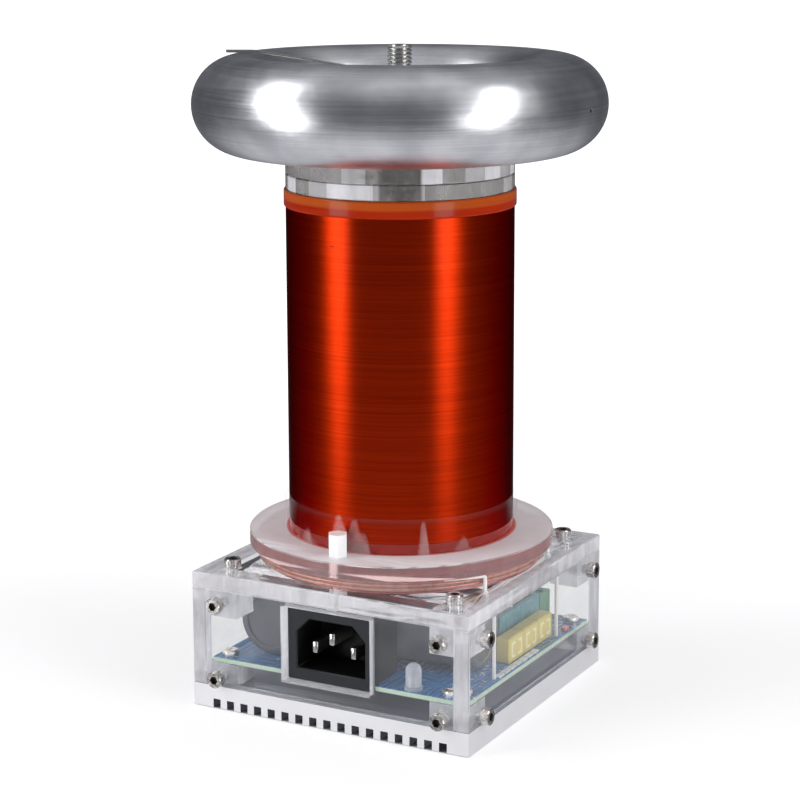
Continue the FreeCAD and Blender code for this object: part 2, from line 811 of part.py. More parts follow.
def base_collar():
    """A clear bead round the foot of the coil, chamfered at its top."""
    top = flange_top + collar_height
    collar = tube(collar_outer, collar_inner, flange_top, top)
    rims = [edge for edge in top_edges(collar, top) if edge.BoundBox.XMax > collar_outer - 0.01]
    return collar.makeChamfer(collar_chamfer, rims)


def ground_lead():
    """From the board up inside the coil, then out through the former to the first turn."""
    place = ground_place()
    end = around(former_radius - winding_gap, ground_bearing)
    points = [(*place, board_top), (*place, lower_lead_z), (*end, lower_lead_z)]
    return wire_along(points, lead_bend, lead_radius)


def high_voltage_lead():
    """From the last turn in through the former, then up and across to a ring tag on the stud."""
    inner_x = high_voltage_inset + former_wall - former_radius
    lead_z = tag_z + tag_thickness / 2
    points = [(winding_gap - former_radius, 0, upper_lead_z), (inner_x, 0, upper_lead_z),
              (inner_x + high_voltage_rise_run, 0, lead_z), (tag_bite - washer_radius, 0, lead_z)]
    lead = wire_along(points, lead_bend, lead_radius)
    tag = tube(washer_radius, stud_radius + stud_hole_gap, tag_z, tag_z + tag_thickness)
    return lead.fuse(tag)


def cap_disc():
    return tube(winding_radius, stud_radius + stud_hole_gap, former_top, cap_top)


def cap_ring():
    return tube(winding_radius, cap_opening_radius, cap_top, cap_ring_top)


# ---------------------------------------------------------------- stud, nuts and washers
def terminal_stud():
    return rod(stud_radius, NUT_LEVELS[0] - stud_tail, top_nut_top + stud_free_end)


def stud_nuts():
    """Hexagons with both ends turned to a cone, so their corners are rounded off."""
    end_radius = nut_flats / math.sqrt(3) - nut_chamfer
    nuts = []
    for z in NUT_LEVELS:
        cone = Part.makeCone(end_radius + nut_height, end_radius, nut_height, Vector(0, 0, z))
        flipped = cone.mirror(Vector(0, 0, z + nut_height / 2), UP)
        nut = hex_bar(nut_flats, z, z + nut_height).common(cone).common(flipped)
        nuts.append(nut.cut(hole(stud_radius + turning_gap, z, z + nut_height)))
    return nuts


def stud_washers():
    return [tube(washer_radius, stud_radius + stud_hole_gap, z, z + washer_thickness) for z in WASHER_LEVELS]


# ---------------------------------------------------------------- ring terminal
def ring_shell():
    """A hollow spun ring, with one small hole drilled through its rim."""
    shell = Part.makeTorus(ring_radius, tube_radius, Vector(0, 0, ring_z))
    shell = shell.cut(Part.makeTorus(ring_radius, tube_radius - ring_wall, Vector(0, 0, ring_z)))
    drill = rod(drilled_hole_radius, ring_radius, ring_radius + 2 * tube_radius)
    return shell.cut(aimed(drill, (0, 0, ring_z), (1, 0, 0)))


def ring_web():
    """The flat disc that closes the ring and takes the stud, its rim hollowed to seat in the ring."""
    disc = tube(ring_radius - tube_radius + ring_wall / 2, stud_radius + turning_gap, web_bottom, web_top)
    return disc.cut(Part.makeTorus(ring_radius, tube_radius, Vector(0, 0, ring_z)))


def discharge_wire():
    """An eye round the stud on top of the nut, and a straight run that leans on the ring's crest."""
    eye_radius = stud_radius + turning_gap + wire_radius
    eye_z = top_nut_top + turning_gap + wire_radius
    crest_z = ring_z + tube_radius + wire_clearance + wire_radius
    points = [(eye_radius, 0, eye_z), (eye_radius + wire_shoulder, 0, eye_z + wire_shoulder_rise),
              (ring_radius - wire_crest_run, 0, crest_z), (wire_reach, 0, crest_z)]
    wire = Part.makeTorus(eye_radius, wire_radius, Vector(0, 0, eye_z))
    wire = wire.fuse(wire_along(points, wire_bend, wire_radius))
    wire.rotate(Vector(0, 0, 0), UP, wire_bearing)
    return wire


# ---------------------------------------------------------------- write every piece
NODES = {
    "base_plate": [base_plate()],
    "left_panel": [side_panel(-1)],
    "right_panel": [side_panel(1)],
    "front_panel": [front_panel()],
    "rear_panel": [end_panel(1)],
    "top_plate": [top_plate()],
    "upper_corner_blocks": upper_corner_blocks(),
    "lower_corner_blocks": lower_corner_blocks(),
    "side_panel_screws": screws_at(side_screw_places(), screw_length),
    "end_panel_screws": screws_at(end_screw_places(), screw_length),
    "top_plate_screws": screws_at(plate_screw_places(), screw_length),
    "base_plate_screws": base_plate_screws(),
    "circuit_board": [circuit_board()],
    "circuit_board_screws": circuit_board_screws(),
    "mains_inlet_housing": [mains_inlet_housing()],
    "mains_inlet_blades": mains_inlet_blades(),
    "left_reservoir_capacitor": [reservoir((reservoir_left_x, reservoir_left_front, reservoir_z), (0, 1, 0))],
    "rear_reservoir_capacitor": [reservoir((reservoir_rear_end - reservoir_length, reservoir_rear_y,
                                            reservoir_z), (1, 0, 0))],
    "film_capacitors": film_capacitors(),
    "driver_board": [driver_board()],
    "driver_chips": driver_chips(),
    "indicator_lamp": [indicator_lamp()],
    "chip_resistors": chip_resistors(),
    "status_lamp": [status_lamp()],
    "bridge_rectifier": [bridge_rectifier()],
    "gate_transformer_core": [gate_transformer_core()],
    "gate_transformer_winding": gate_transformer_winding(),
    "fuse_clips": fuse_clips(),
    "fuse": [fuse()],
    "primary_terminal": [primary_terminal()],
    "power_transistors": power_transistors(),
    "transistor_pads": transistor_pads(),
    "transistor_screws": transistor_screws(),
    "primary_hub": [primary_hub()],
    "primary_winding": [primary_winding()],
    "primary_leads": primary_leads(),
    "flange_disc": [flange_disc()],
    "nylon_posts": nylon_posts(),
    "nylon_studs": nylon_studs(),
    "nylon_nuts": nylon_nuts(),
    "coil_former": [coil_former()],
    "secondary_winding": [secondary_winding()],
    "winding_foot": [winding_foot()],
    "end_band": [end_band()],
    "base_collar": [base_collar()],
    "ground_lead": [ground_lead()],
    "high_voltage_lead": [high_voltage_lead()],
    "cap_disc": [cap_disc()],
    "cap_ring": [cap_ring()],
    "terminal_stud": [terminal_stud()],
    "stud_nuts": stud_nuts(),
    "stud_washers": stud_washers(),
    "ring_shell": [ring_shell()],
    "ring_web": [ring_web()],
    "discharge_wire": [discharge_wire()],
}

for node, solids in NODES.items():
    shape = solids[0] if len(solids) == 1 else Part.makeCompound(solids)
    shape.exportStep(f"parts/{node}.step")
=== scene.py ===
"""Desktop resonant transformer: a ring terminal on a red-wound coil, over a clear box of electronics."""

import math

import bmesh
import bpy
from mathutils import Matrix, Vector


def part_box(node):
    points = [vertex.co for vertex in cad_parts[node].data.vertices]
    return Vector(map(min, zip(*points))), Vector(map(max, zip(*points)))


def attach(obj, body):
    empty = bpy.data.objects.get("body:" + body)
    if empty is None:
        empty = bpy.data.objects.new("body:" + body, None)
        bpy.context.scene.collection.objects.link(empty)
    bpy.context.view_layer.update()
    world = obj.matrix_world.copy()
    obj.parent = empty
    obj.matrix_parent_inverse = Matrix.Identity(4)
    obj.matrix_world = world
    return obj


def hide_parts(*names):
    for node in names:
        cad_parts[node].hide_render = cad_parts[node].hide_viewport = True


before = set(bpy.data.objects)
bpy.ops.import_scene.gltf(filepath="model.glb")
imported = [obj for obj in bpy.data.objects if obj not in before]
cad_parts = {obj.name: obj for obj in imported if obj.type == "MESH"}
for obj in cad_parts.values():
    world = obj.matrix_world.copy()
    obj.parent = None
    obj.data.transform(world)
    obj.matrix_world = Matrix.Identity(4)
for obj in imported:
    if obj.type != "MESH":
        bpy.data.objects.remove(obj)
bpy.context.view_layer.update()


# ---------------------------------------------------------------- studio
# A pale floor under a white background, two tall soft boxes that lean apart to the left and right of
# the object, and a narrow one overhead. Metal sees a grey room with those boxes in it.
MM = 0.001


class Socket:
    """One socket of a node tree, so that shader maths reads as an expression."""

    def __init__(self, tree, output=None):
        self.tree = tree
        self.output = output

    def node(self, kind, sockets=None, out=0, **settings):
        """A new node of one type: its settings first, then values or links for its sockets."""
        made = self.tree.nodes.new("ShaderNode" + kind)
        for name, value in settings.items():
            setattr(made, name, value)
        for name, value in (sockets or {}).items():
            if isinstance(value, Socket):
                self.tree.links.new(value.output, made.inputs[name])
            elif isinstance(value, tuple) and len(value) == 3 and len(made.inputs[name].default_value) == 4:
                made.inputs[name].default_value = (*value, 1)
            else:
                made.inputs[name].default_value = value
        return Socket(self.tree, made.outputs[out] if made.outputs else None)

    def maths(self, operation, *others):
        """A Math node with this value as its first input."""
        return self.node("Math", dict(enumerate((self, *others))), operation=operation)

    def __add__(self, other):
        return self.maths("ADD", other)

    __radd__ = __add__

    def __sub__(self, other):
        return self.maths("SUBTRACT", other)

    def __rsub__(self, other):
        return self.node("Math", {0: other, 1: self}, operation="SUBTRACT")

    def __mul__(self, other):
        return self.maths("MULTIPLY", other)

    __rmul__ = __mul__

    def __truediv__(self, other):
        return self.maths("DIVIDE", other)

    def __gt__(self, other):
        return self.maths("GREATER_THAN", other)

    def __lt__(self, other):
        return self.maths("LESS_THAN", other)

    def __abs__(self):
        return self.maths("ABSOLUTE")

    def between(self, low, high):
        """0 below low, 1 above high and a smooth step between them."""
        return self.node("MapRange", {"Value": self, "From Min": low, "From Max": high},
                         interpolation_type="SMOOTHSTEP", clamp=True)

    def tint(self, dark, light):
        """The colour that goes from dark to light as this value goes from 0 to 1."""
        return self.node("Mix", {0: self, 6: dark, 7: light}, out=2, data_type="RGBA")

    def parts(self):
        """The x, y and z of a vector."""
        split = self.node("SeparateXYZ", {0: self}).output.node
        return [Socket(self.tree, socket) for socket in split.outputs]

    def ray(self, kind):
        """1 on rays of one kind and 0 on the others."""
        return self.node("LightPath", out="Is " + kind + " Ray")

    def stretched(self, x, y, z):
        return self.node("VectorMath", {0: self, 1: (x, y, z)}, operation="MULTIPLY")

    def noise(self, scale, detail=2.0, roughness=0.5):
        return self.node("TexNoise", {"Vector": self, "Scale": scale, "Detail": detail, "Roughness": roughness})

    def bump(self, strength, distance):
        return self.node("Bump", {"Height": self, "Strength": strength, "Distance": distance})


def finish(name, build, **fixed):
    """A material. build(place, point) gives what varies over it, fixed gives the rest by socket name."""
    material = bpy.data.materials.new(name)
    material.use_nodes = True
    tree = material.node_tree
    shader = tree.nodes["Principled BSDF"]
    for socket, value in fixed.items():
        target = shader.inputs[socket.replace("_", " ")]
        target.default_value = (*value, 1) if isinstance(value, tuple) and len(value) == 3 else value
    place = Socket(tree)
    point = place.node("TexCoord", out="Object")
    for socket, value in build(place, point).items():
        tree.links.new(value.output, shader.inputs[socket])
    return material


camera_bearing = math.radians(28.352)
camera_elevation = math.radians(10.728)
camera_roll = math.radians(-0.198)
camera_distance = 0.7164
camera_target = Vector((0, 0, 0.12264))
back = Vector((math.sin(camera_bearing) * math.cos(camera_elevation),
               -math.cos(camera_bearing) * math.cos(camera_elevation), math.sin(camera_elevation)))
camera = bpy.data.objects.new("camera", bpy.data.cameras.new("camera"))
camera.data.lens = 99.114
camera.data.sensor_width = 36
camera.data.shift_x = -0.00078
camera.data.shift_y = -0.0974
camera.data.clip_start = 0.01
camera.matrix_world = (Matrix.Translation(camera_target + back * camera_distance)
                       @ back.to_track_quat("Z", "Y").to_matrix().to_4x4()
                       @ Matrix.Rotation(camera_roll, 4, "Z"))
bpy.context.scene.collection.objects.link(camera)
bpy.context.scene.camera = camera
bpy.context.scene.view_settings.view_transform = "Standard"


def soft_box(name, bearing, reach, centre, width, height, radiance, tilt=0, lean=0):
    """An area lamp at a bearing from the camera's; radiance is what a mirror shows, lean turns its top."""
    angle = camera_bearing + math.radians(bearing)
    away = Vector((math.sin(angle), -math.cos(angle), 0))
    lamp = bpy.data.lights.new(name, "AREA")
    lamp.shape = "RECTANGLE"
    lamp.size = width
    lamp.size_y = height
    lamp.energy = radiance * math.pi * width * height
    facing = (away + Vector((0, 0, math.tan(math.radians(tilt))))).normalized()
    holder = bpy.data.objects.new(name, lamp)
    holder.matrix_world = (Matrix.Translation(away * reach + Vector((0, 0, centre)))
                           @ facing.to_track_quat("Z", "Y").to_matrix().to_4x4()
                           @ Matrix.Rotation(math.radians(lean), 4, "Z"))
    bpy.context.scene.collection.objects.link(holder)


soft_box("left_box", bearing=-77, reach=1.24, centre=0.87, width=0.44, height=2.35, radiance=4.8, lean=22)
soft_box("right_box", bearing=58, reach=1.33, centre=0.90, width=0.44, height=2.35, radiance=4.8, lean=-22)
soft_box("top_box", bearing=20, reach=0.25, centre=1.45, width=1.0, height=0.1, radiance=0.8, tilt=80)

world = bpy.data.worlds.new("room")
world.use_nodes = True
bpy.context.scene.world = world
world.node_tree.nodes.clear()
room = Socket(world.node_tree)
seen = room.ray("Camera").maths("MAXIMUM", room.ray("Transmission"))
sky_x, sky_y, sky_height = room.node("TexCoord", out="Generated").parts()
ahead = (sky_x * math.sin(camera_bearing) - sky_y * math.cos(camera_bearing)).between(-0.5, 0.8)
walls = ahead.tint((0.085, 0.09, 0.10), (0.115, 0.118, 0.13))
ceiling = sky_height.between(0.5, 0.98).tint(walls, (0.42, 0.425, 0.44))
grey_room = sky_height.between(-0.2, -0.85).tint(ceiling, (0.62, 0.625, 0.65))
ambient = room.ray("Glossy").tint((0.44, 0.445, 0.465), grey_room)
background = room.node("Background", {"Color": seen.tint(ambient, (1, 1, 1))})
room.node("OutputWorld", {"Surface": background})

floor_mesh = bmesh.new()
bmesh.ops.create_grid(floor_mesh, x_segments=1, y_segments=1, size=6)
floor_data = bpy.data.meshes.new("floor")
floor_mesh.to_mesh(floor_data)
floor_mesh.free()
floor = bpy.data.objects.new("floor", floor_data)
bpy.context.scene.collection.objects.link(floor)
paper = bpy.data.materials.new("floor_paper")
paper.use_nodes = True
paper.node_tree.nodes.clear()
sheet = Socket(paper.node_tree)
sheet_x, sheet_y = sheet.node("TexCoord", out="Object").parts()[:2]
beyond_plate = abs(sheet_x).maths("MAXIMUM", abs(sheet_y)).between(49.0 * MM, 50.5 * MM)
apart = (sheet_x * sheet_x + sheet_y * sheet_y).maths("SQRT")
glow = beyond_plate * (apart.between(0.08, 0.6) * 0.4 + 0.6)
sheet_glow = sheet.node("Emission", {"Color": glow.tint((0, 0, 0), (1, 1, 1))})
sheet_matte = sheet.node("BsdfDiffuse", {"Color": (0.50, 0.50, 0.505)})
sheet.node("OutputMaterial", {"Surface": sheet.node("AddShader", {0: sheet_glow, 1: sheet_matte})})
floor.visible_glossy = False
floor.visible_shadow = False
floor_data.materials.append(paper)
floor.location.z = -0.0002


# ---------------------------------------------------------------- base plate
# A square aluminium plate that is also the heat sink: milled, with square grooves along its underside
# whose ends show as a row of dark notches, darkened with painted shade. Its edges are broken with a file.
def eased(node, chamfer, *materials, slot, body="stand", shrink=0.0, smooth=28):
    """A copy of a CAD node with its sharp edges broken, as a saw, a mill or a mould leaves them."""
    shape = bmesh.new()
    shape.from_mesh(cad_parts[node].data)
    bmesh.ops.remove_doubles(shape, verts=shape.verts, dist=2e-6)
    if shrink:
        low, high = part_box(node)
        for vert in shape.verts:
            for axis in range(3):
                middle, size = (low[axis] + high[axis]) / 2, high[axis] - low[axis]
                vert.co[axis] = middle + (vert.co[axis] - middle) * (1 - 2 * shrink / size)
    if chamfer:
        corners = [edge for edge in shape.edges
                   if len(edge.link_faces) == 2 and edge.calc_face_angle(0) > math.radians(32)]
        bmesh.ops.bevel(shape, geom=corners, offset=chamfer, offset_type="OFFSET", affect="EDGES",
                        segments=1, profile=0.5, material=-1, clamp_overlap=True)
    return piece(node + "_body", shape, *materials, slot=slot, body=body, stands_for=[node], smooth=smooth)


def piece(name, shape, *materials, slot, body="stand", stands_for=(), smooth=28):
    """Finishes a bmesh as an object: materials, shading, and the CAD nodes that it stands for."""
    data = bpy.data.meshes.new(name)
    bmesh.ops.triangulate(shape, faces=[face for face in shape.faces if len(face.verts) > 4])
    for face in shape.faces:
        level = abs(face.normal.z) > 0.9999 or any(edge.calc_face_angle(1) < 0.002 for edge in face.edges)
        face.smooth = smooth > 0 and not level
    shape.to_mesh(data)
    shape.free()
    for material in materials:
        data.materials.append(material)
    data.set_sharp_from_angle(angle=math.radians(smooth))
    thing = bpy.data.objects.new(name, data)
    bpy.context.scene.collection.objects.link(thing)
    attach(thing, body)
    if stands_for:
        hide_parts(*stands_for)
    return thing


def milled_aluminium(place, point):
    lines = point.stretched(1, 1, 24).noise(420, 3)
    cloud = point.noise(60, 3)
    x, y, z = point.parts()
    facing, up = place.node("TexCoord", out="Normal").parts()[1:]
    # Painted shade: near black on the walls and ceilings of the grooves, dark grey on faces that look up.
    groove_painted_shade = (abs(facing) < 0.5) * (z < groove_top) * (abs(x) < groove_reach)
    shade = (lines * 0.3 + cloud * 0.7).tint((0.71, 0.705, 0.73), (0.88, 0.875, 0.90))
    top_painted_shade = up.between(0.8, 0.95).tint(shade, (0.31, 0.32, 0.37))
    return {"Base Color": groove_painted_shade.tint(top_painted_shade, (0.008, 0.011, 0.022)),
            "Roughness": lines * 0.12 + 0.36,
            "Normal": lines.bump(0.25, 0.00006)}


groove_top, groove_reach = 3.1 * MM, 48.5 * MM
base_finish = finish("milled_aluminium", milled_aluminium, Metallic=0.35)
eased("base_plate", 0.25 * MM, base_finish, slot="base_aluminium")


# ---------------------------------------------------------------- clear sheets, blocks and discs
# Cast acrylic, 5 mm thick, cut by laser: its two faces keep their polish and its cut edges are
# frosted by the beam. The same sheet makes the box, the blocks in its corners and the discs.
def clear_plastic(name, build, shadow=(0.93, 0.935, 0.94), frost=None, frost_tint=(0.84, 0.83, 0.87), ior=1.49,
                  painted_reflection=None, behind=0.45):
    """Acrylic that bends light and lets the lamps through; frost(place, point) is its share of matt surface."""
    material = finish(name, build, IOR=ior, Transmission_Weight=1.0)
    tree = material.node_tree
    place = Socket(tree)
    surface = Socket(tree, tree.nodes["Principled BSDF"].outputs[0])
    if frost:
        point = place.node("TexCoord", out="Object")
        white = point.noise(180, 3).tint(tuple(0.86 * part for part in frost_tint), frost_tint)
        # painted_reflection colours reflections and things seen through the wall into the matt surface.
        if painted_reflection:
            white = painted_reflection(place, point, white)
        matt = place.node("BsdfPrincipled", {"Base Color": white, "Roughness": 0.6, "Subsurface Weight": 0.0})
        through = place.node("BsdfTranslucent", {"Color": frost_tint})
        both_ways = place.node("MixShader", {0: behind, 1: matt, 2: through})
        surface = place.node("MixShader", {0: frost(place, point), 1: surface, 2: both_ways})
    passing = place.node("BsdfTransparent", {"Color": shadow})
    lamp_ray = place.ray("Shadow").maths("MAXIMUM", place.ray("Diffuse"))
    both = place.node("MixShader", {0: lamp_ray, 1: surface, 2: passing})
    tree.links.new(both.output, tree.nodes["Material Output"].inputs["Surface"])
    return material


def edge_mask(place, axis):
    """1 on the cut edges and 0 on the two faces that are polished across the axis."""
    return abs(place.node("TexCoord", out="Normal").parts()[axis]).between(0.95, 0.6)


def cut_edge(axis, share):
    """How much of a surface is frosted: none of it across the polished axis, the share on cut edges."""
    def build(place, point):
        stripe = point.stretched(1, 1, 0.3).noise(260, 3).between(0.3, 0.7)
        return edge_mask(place, axis) * (stripe * 0.3 + 0.7) * share
    return build


def cut_sheet(axis, edge_colour=(0.90, 0.905, 0.92)):
    """Polished across one axis and frosted on its cut edges, with the faint ripple of the beam."""
    def build(place, point):
        edge = edge_mask(place, axis)
        ripple = point.noise(700, 2)
        blotch = point.noise(140, 3)
        return {"Roughness": edge * (blotch * 0.20 + 0.10) + 0.002,
                "Base Color": (edge * (blotch * 0.6 + 0.4)).tint((0.985, 0.99, 0.992), edge_colour),
                "Normal": (ripple * edge).bump(0.35, 0.00012)}
    return build


def hazy(axis, share, haze):
    """Frosting for a sheet: the share on its cut edges and a slight haze on its faces."""
    def build(place, point):
        return cut_edge(axis, share)(place, point) + point.noise(120, 2) * haze
    return build


sheets = [clear_plastic("clear_sheet_" + name, cut_sheet(axis), frost=hazy(axis, share, 0.075))
          for axis, (name, share) in enumerate((("x", 0.77), ("y", 0.77), ("z", 0.64)))]
shrink = 0.02 * MM
for panel, finish_of in (("left_panel", sheets[0]), ("right_panel", sheets[0]), ("front_panel", sheets[1]),
                         ("rear_panel", sheets[1])):
    eased(panel, 0.3 * MM, finish_of, slot="clear_sheet", shrink=shrink, smooth=0)
eased("top_plate", 0.3 * MM, sheets[2], slot="clear_sheet", shrink=shrink)
for blocks in ("upper_corner_blocks", "lower_corner_blocks"):
    eased(blocks, 0.25 * MM, sheets[2], slot="corner_block", shrink=shrink, smooth=0)


def painted_nut_mask(point):
    """Where a painted image of the dark nut on the stud lies on the wall: in the middle of each quarter."""
    x, y = point.parts()[:2]
    return ((y.maths("ARCTAN2", x) + nut_turn) * 4).maths("COSINE").between(0.70, 0.80)


def painted_cap_reflections(place, point, white):
    """Painted reflections: blocks of light and dark on the wall, as its facets throw them, and a painted nut seen
    through it.
    """
    x, y, z = point.parts()
    block = y.maths("ARCTAN2", x) * 4.6 + (z > disc_joint) * 7.3
    cell = place.node("TexWhiteNoise", {"W": block.maths("FLOOR")}, noise_dimensions="1D")
    half = (cell > 0.38).tint((0.15, 0.132, 0.12), (0.40, 0.39, 0.395))
    nut = point.stretched(1, 1, 2).noise(300, 3).tint((0.030, 0.024, 0.020), (0.085, 0.075, 0.068))
    return painted_nut_mask(point).tint((cell > 0.62).tint(half, white), nut)


def outer_edge(place, point):
    """The frosted share of a cap disc: its outer wall, more of it over the painted nut."""
    x, y, z = point.parts()
    wall = (x * x + y * y > wall_start ** 2) * (painted_nut_mask(point) * (0.28 - (z < disc_joint) * 0.12) + 1)
    return cut_edge(2, 0.70)(place, point) * wall + point.noise(120, 2) * 0.04


# nut_turn is a quarter turn less the camera's bearing: the painted nut is centred towards the camera and every
# quarter turn from it.
nut_turn, disc_joint, wall_start = 1.076, 172 * MM, 30 * MM
cap_sheet = clear_plastic("clear_cap", cut_sheet(2), frost=outer_edge, painted_reflection=painted_cap_reflections, behind=0.12)
for disc in ("cap_disc", "cap_ring"):
    eased(disc, 0.3 * MM, cap_sheet, slot="clear_sheet", shrink=shrink)


def seat(point):
    """1 under the coil's foot and 0 outside it."""
    x, y = point.parts()[:2]
    return (x * x + y * y).between((38.2 * MM) ** 2, (37.6 * MM) ** 2)


# Painted reflection: the red of the coil, seen down through the disc, coloured into the frosted seat under its foot.
def painted_coil_red(place, point, white):
    return seat(point).tint(white, (0.80, 0.045, 0.03))


def seat_share(place, point):
    """The frosted share of the flange and the hub: their walls, the seat and the flange's worn top."""
    level = abs(place.node("TexCoord", out="Normal").parts()[2]).between(0.6, 0.95)
    worn_top = (point.parts()[2] > 54.5 * MM) * 0.78
    return cut_edge(2, 0.14)(place, point) + level * (seat(point) * 0.5 + worn_top + 0.08)


# Painted reflection: the coil's red, carried through the clear discs, coloured into the cut edges of both and the
# hub's rim.
for disc, edge_colour, rim_tint in (("flange_disc", (0.90, 0.40, 0.38), (0.985, 0.95, 0.965)),
                                    ("primary_hub", (0.74, 0.17, 0.16), (0.84, 0.38, 0.37))):
    eased(disc, 0.4 * MM, clear_plastic(disc + "_sheet", cut_sheet(2, edge_colour), frost=seat_share,
                                        frost_tint=rim_tint, painted_reflection=painted_coil_red, behind=0.2),
          slot="clear_flange", shrink=shrink)


# ---------------------------------------------------------------- screws of the box
# Nickel-plated M3 socket head screws: a knurled head with a hexagon socket and a full thread. They
# hold the panels and the top plate to the corner blocks, and the base plate from below.
def threaded(shape, radius, depth, pitch, low, high, steps):
    """A threaded rod about Z: one turn of its profile swept up a helix, then cut flat at both ends."""
    rise = [(radius - depth, 0), (radius, 0.42), (radius, 0.58), (radius - depth, 1)]
    turns = math.ceil((high - low) / pitch) + 2
    corners = [shape.verts.new((across, 0, low + (up - 1) * pitch)) for across, up in rise]
    edges = [shape.edges.new(pair) for pair in zip(corners, corners[1:])]
    bmesh.ops.spin(shape, geom=corners + edges, cent=(0, 0, 0), axis=(0, 0, 1), angle=2 * math.pi * turns,
                   steps=steps * turns, dvec=(0, 0, pitch / steps))
    bmesh.ops.remove_doubles(shape, verts=shape.verts, dist=1e-6)
    for end, outward in ((low, -1), (high, 1)):
        bmesh.ops.bisect_plane(shape, geom=shape.verts[:] + shape.edges[:] + shape.faces[:], dist=1e-7,
                               plane_co=(0, 0, end), plane_no=(0, 0, outward), clear_outer=True)
    bmesh.ops.edgeloop_fill(shape, edges=[edge for edge in shape.edges if edge.is_boundary])


def turned(shape, profile, steps):
    """Spins a profile of (radius, height) points about Z."""
    points = [shape.verts.new((across, 0, up)) for across, up in profile]
    edges = [shape.edges.new(pair) for pair in zip(points, points[1:])]
    bmesh.ops.spin(shape, geom=points + edges, cent=(0, 0, 0), axis=(0, 0, 1), angle=2 * math.pi,
                   steps=steps, use_merge=True)
    bmesh.ops.remove_doubles(shape, verts=shape.verts, dist=1e-6)


def socket_screw(length, head_radius=2.75 * MM, head_height=3.0 * MM, radius=1.47 * MM):
    """One screw, its head from 0 up and its thread down from 0."""
    socket_flat, socket_depth, knurls = 1.25 * MM, 1.5 * MM, 48
    head = bmesh.new()
    rim = 0.28 * MM
    turned(head, [(1.0 * MM, 0), (head_radius - rim, 0), (head_radius, rim), (head_radius, head_height - rim),
                  (head_radius - rim, head_height), (1.7 * MM, head_height)], knurls)
    for vert in head.verts:
        angle = math.atan2(vert.co.y, vert.co.x)
        if abs(vert.co.xy.length - head_radius) < 1e-6 and round(angle / (2 * math.pi / knurls)) % 2:
            vert.co.xy *= 0.965
        if vert.co.z > head_height - 1e-6 and vert.co.xy.length < 2 * MM:
            sixth = math.pi / 3
            vert.co.xy *= socket_flat / math.cos((angle % sixth) - sixth / 2) / vert.co.xy.length
    mouth = [edge for edge in head.edges if edge.is_boundary and edge.verts[0].co.z > rim]
    sides = bmesh.ops.extrude_edge_only(head, edges=mouth)["geom"]
    bmesh.ops.translate(head, verts=[item for item in sides if isinstance(item, bmesh.types.BMVert)],
                        vec=(0, 0, -socket_depth))
    bmesh.ops.edgeloop_fill(head, edges=[edge for edge in head.edges if edge.is_boundary])
    bmesh.ops.recalc_face_normals(head, faces=head.faces)
    # Painted shade: the socket's walls and floor take the second material, a dark recess colour.
    for face in head.faces:
        middle = face.calc_center_median()
        face.material_index = int(middle.xy.length < 1.5 * MM and middle.z < head_height - 0.1 * MM)
    thread = bmesh.new()
    threaded(thread, radius, 0.26 * MM, 0.5 * MM, -length, 0.2 * MM, 16)
    bmesh.ops.recalc_face_normals(thread, faces=thread.faces)
    both = bpy.data.meshes.new("screw")
    thread.to_mesh(both)
    thread.free()
    head.from_mesh(both)
    bpy.data.meshes.remove(both)
    return head


def set_of(master, places):
    """Copies of one bmesh, its +Z turned to each place's direction, in one bmesh."""
    single = bpy.data.meshes.new("single")
    master.to_mesh(single)
    master.free()
    whole = bmesh.new()
    for spot, direction in places:
        known = len(whole.verts)
        whole.from_mesh(single)
        whole.verts.ensure_lookup_table()
        turn = Vector(direction).to_track_quat("Z", "Y").to_matrix().to_4x4()
        bmesh.ops.transform(whole, matrix=Matrix.Translation(spot) @ turn, verts=whole.verts[known:])
    bpy.data.meshes.remove(single)
    return whole


# Painted shade for recesses: a dark brown on the walls of the screw sockets and of the ring's drilled hole.
def painted_recess_shade(place, point):
    return {"Base Color": point.noise(1500).tint((0.030, 0.024, 0.020), (0.10, 0.08, 0.065)),
            "Roughness": point.noise(900) * 0.2 + 0.5}


def nickel(place, point):
    smudge = point.noise(900, 3)
    return {"Base Color": smudge.between(0.35, 0.75).tint((0.62, 0.57, 0.53), (0.86, 0.85, 0.84)),
            "Roughness": smudge * 0.22 + 0.14}


screw_finish = finish("nickel_plate", nickel, Metallic=1.0)
recess_shade_finish = finish("recess_painted_shade", painted_recess_shade, Metallic=0.6)
corner, outer, plate_top = 40.4 * MM, 50 * MM, 45 * MM
upper, lower = 35.1 * MM, 10.3 * MM
signs = [(-1, -1), (-1, 1), (1, -1), (1, 1)]
screw_length = 8 * MM
for node, places in {
        "side_panel_screws": [((side * outer, end * corner, z), (side, 0, 0))
                              for side, end in signs for z in (upper, lower)],
        "end_panel_screws": [((end * corner, side * outer, z), (0, side, 0))
                             for side, end in signs for z in (upper, lower)],
        "top_plate_screws": [((side * corner, end * corner, plate_top), (0, 0, 1)) for side, end in signs]}.items():
    piece(node + "_threaded", set_of(socket_screw(screw_length), places), screw_finish, recess_shade_finish,
          slot="screw_steel", stands_for=[node])
for node in ("base_plate_screws", "transistor_screws", "circuit_board_screws"):
    eased(node, 0.08 * MM, screw_finish, slot="screw_steel")


